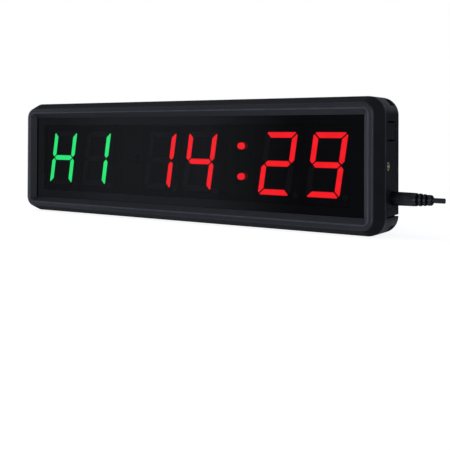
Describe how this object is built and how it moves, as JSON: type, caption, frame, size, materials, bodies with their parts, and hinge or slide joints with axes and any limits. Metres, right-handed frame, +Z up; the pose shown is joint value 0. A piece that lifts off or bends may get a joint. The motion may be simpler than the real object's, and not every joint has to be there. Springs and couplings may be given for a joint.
{
  "type": "gym round timer",
  "caption": "Long wall-mounted interval timer: black tapered case, smoked window, slanted seven-segment digits with a colon, threaded end fixings, and a pluggable power lead.",
  "frame": {"origin": "middle of the case's flat base, halfway across its width and its depth", "axes": "+X to the right seen from the front, +Y from the display to the back, +Z up"},
  "size_m": [0.3652, 0.036, 0.094],
  "materials": {
    "front_bezel": "fine spark-eroded black moulding",
    "rear_cover": "fine spark-eroded black moulding",
    "display_lens": "smoked acrylic, polished",
    "lens_tape": "black double-sided tape",
    "main_board": "green solder mask",
    "round_tens_module": "black digit housing",
    "round_units_module": "black digit housing",
    "minute_tens_module": "black digit housing",
    "minute_units_module": "black digit housing",
    "second_tens_module": "black digit housing",
    "second_units_module": "black digit housing",
    "round_segments_lit": "lit green diffuser",
    "clock_segments_lit": "lit red diffuser",
    "round_segments_unlit": "unlit smoky diffuser",
    "clock_segments_unlit": "unlit smoky diffuser",
    "colon_leds": "lit red lamp bodies",
    "digit_pins": "tinned pins",
    "ir_receiver": "infrared-clear black epoxy",
    "microcontroller": "black epoxy package",
    "display_drivers": "black epoxy package",
    "clock_chip": "black epoxy package",
    "crystal": "plain can",
    "coin_cell_holder": "black moulded holder",
    "coin_cell": "plated steel can",
    "buzzer": "black moulded shell",
    "voltage_regulator": "black epoxy package",
    "capacitors": "sleeved aluminium cans",
    "resistors": "glazed ceramic chips",
    "power_header": "cream nylon",
    "power_wires": "red insulated wire",
    "jack_body": "black moulded socket",
    "jack_pin": "nickel-plated pin",
    "jack_spring": "nickel-plated contact",
    "left_insert": "turned brass",
    "right_insert": "turned brass",
    "board_screws": "zinc-plated steel",
    "cover_screws": "black zinc-plated steel",
    "rating_label": "blank matt film label",
    "right_upper_latch": "fine spark-eroded black moulding",
    "right_lower_latch": "fine spark-eroded black moulding",
    "left_upper_latch": "fine spark-eroded black moulding",
    "left_lower_latch": "fine spark-eroded black moulding",
    "plug_boot": "soft black moulding",
    "plug_barrel": "nickel-plated barrel",
    "plug_insulator": "black insulator",
    "plug_contact": "nickel-plated inner contact",
    "power_lead": "black jacketed lead"
  },
  "bodies": {
    "case": {"front_bezel": "front_bezel", "rear_cover": "rear_cover", "display_lens": "display_lens", "lens_tape": "lens_tape", "main_board": "main_board", "round_tens_module": "round_tens_module", "round_units_module": "round_units_module", "minute_tens_module": "minute_tens_module", "minute_units_module": "minute_units_module", "second_tens_module": "second_tens_module", "second_units_module": "second_units_module", "round_segments_lit": "round_segments_lit", "clock_segments_lit": "clock_segments_lit", "round_segments_unlit": "round_segments_unlit", "clock_segments_unlit": "clock_segments_unlit", "colon_leds": "colon_leds", "digit_pins": "digit_pins", "ir_receiver": "ir_receiver", "microcontroller": "microcontroller", "display_drivers": "display_drivers", "clock_chip": "clock_chip", "crystal": "crystal", "coin_cell_holder": "coin_cell_holder", "coin_cell": "coin_cell", "buzzer": "buzzer", "voltage_regulator": "voltage_regulator", "capacitors": "capacitors", "resistors": "resistors", "power_header": "power_header", "power_wires": "power_wires", "jack_body": "jack_body", "jack_pin": "jack_pin", "jack_spring": "jack_spring", "left_insert": "left_insert", "right_insert": "right_insert", "board_screws": "board_screws", "cover_screws": "cover_screws", "rating_label": "rating_label"},
    "plug": {"plug_boot": "plug_boot", "plug_barrel": "plug_barrel", "plug_insulator": "plug_insulator", "plug_contact": "plug_contact", "power_lead": "power_lead"},
    "right_upper_latch_body": {"right_upper_latch": "right_upper_latch"},
    "right_lower_latch_body": {"right_lower_latch": "right_lower_latch"},
    "left_upper_latch_body": {"left_upper_latch": "left_upper_latch"},
    "left_lower_latch_body": {"left_lower_latch": "left_lower_latch"}
  },
  "joints": [
    {"name": "plug_pull", "type": "slide", "parent": "case", "child": "plug", "axis": [1, 0, 0], "range_m": [0, 0.03]},
    {"name": "right_upper_latch_flex", "type": "hinge", "parent": "case", "child": "right_upper_latch_body", "pos_m": [0.1638, -0.004, 0.07045], "axis": [0, 0, -1], "range_deg": [0, 5]},
    {"name": "right_lower_latch_flex", "type": "hinge", "parent": "case", "child": "right_lower_latch_body", "pos_m": [0.1638, -0.004, 0.016], "axis": [0, 0, -1], "range_deg": [0, 4]},
    {"name": "left_upper_latch_flex", "type": "hinge", "parent": "case", "child": "left_upper_latch_body", "pos_m": [-0.1638, -0.004, 0.07045], "axis": [0, 0, 1], "range_deg": [0, 5]},
    {"name": "left_lower_latch_flex", "type": "hinge", "parent": "case", "child": "left_lower_latch_body", "pos_m": [-0.1638, -0.004, 0.016], "axis": [0, 0, 1], "range_deg": [0, 4]}
  ]
}
